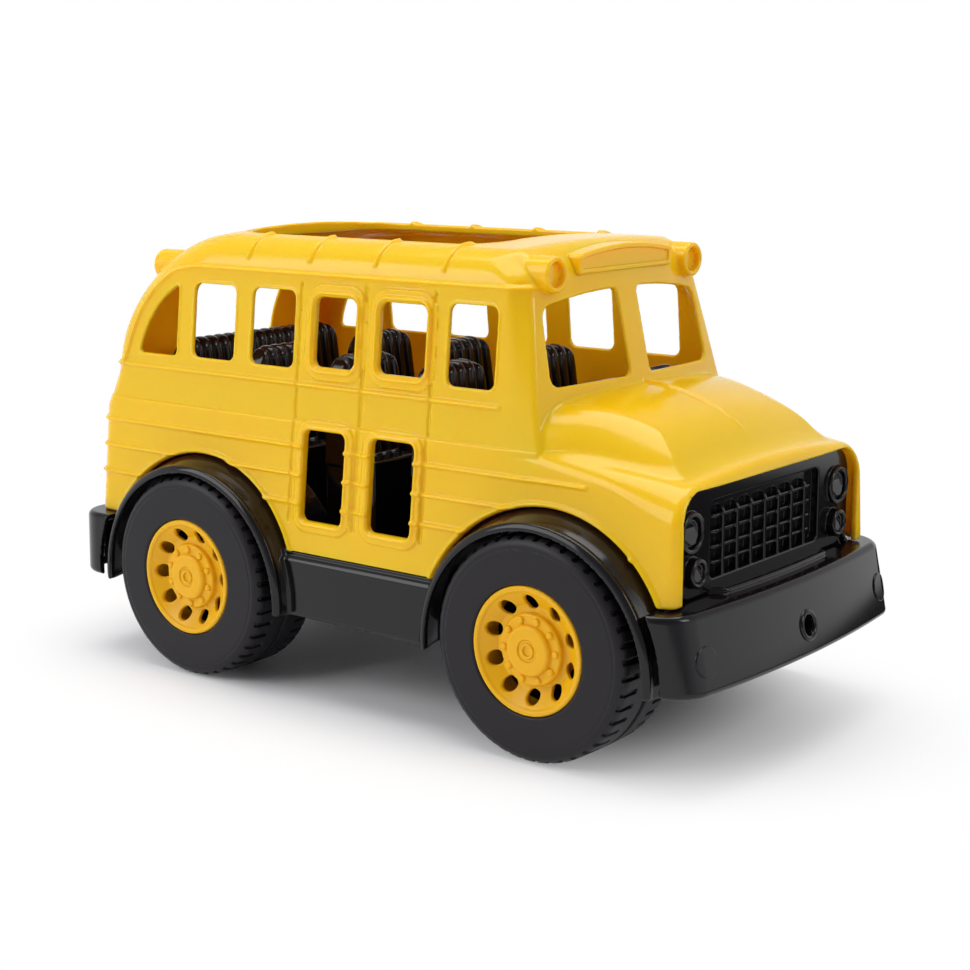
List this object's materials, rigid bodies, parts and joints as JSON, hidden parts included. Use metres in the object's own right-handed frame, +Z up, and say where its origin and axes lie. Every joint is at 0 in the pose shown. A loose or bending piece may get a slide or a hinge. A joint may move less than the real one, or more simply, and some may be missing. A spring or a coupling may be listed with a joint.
{
  "type": "toy bus",
  "caption": "Large moulded toy bus with an open roof, ribbed seats, a hood with a mesh grille, a tow hole in the bumper and free-rolling wheels on two steel axles.",
  "frame": {"origin": "on the floor, midway between the two axles, the two sides and the two ends", "axes": "+X to the front, +Y to the vehicle's left side, +Z up"},
  "size_m": [0.378, 0.1932, 0.2186],
  "materials": {
    "yellow_plastic": "glossy moulded",
    "black_plastic": "glossy moulded",
    "rim_plastic": "satin moulded",
    "tyre": "satin",
    "steel": "plain drawn"
  },
  "bodies": {
    "body": {"body_shell": "yellow_plastic", "chassis": "black_plastic", "front_bumper": "black_plastic", "rear_bumper": "black_plastic", "grille_panel": "black_plastic", "seat_tray": "black_plastic", "steering_wheel": "black_plastic", "front_axle_keeper": "black_plastic", "rear_axle_keeper": "black_plastic", "screws": "steel"},
    "front_wheelset": {"front_axle": "steel", "tyre_front_left": "tyre", "rim_front_left": "rim_plastic", "wheel_back_front_left": "black_plastic", "tyre_front_right": "tyre", "rim_front_right": "rim_plastic", "wheel_back_front_right": "black_plastic"},
    "rear_wheelset": {"rear_axle": "steel", "tyre_rear_left": "tyre", "rim_rear_left": "rim_plastic", "wheel_back_rear_left": "black_plastic", "tyre_rear_right": "tyre", "rim_rear_right": "rim_plastic", "wheel_back_rear_right": "black_plastic"}
  },
  "joints": [
    {"name": "front_axle_spin", "type": "hinge", "parent": "body", "child": "front_wheelset", "pos_m": [0.1042, 0, 0.05], "axis": [0, 1, 0], "continuous": true},
    {"name": "rear_axle_spin", "type": "hinge", "parent": "body", "child": "rear_wheelset", "pos_m": [-0.1042, 0, 0.05], "axis": [0, 1, 0], "continuous": true}
  ]
}
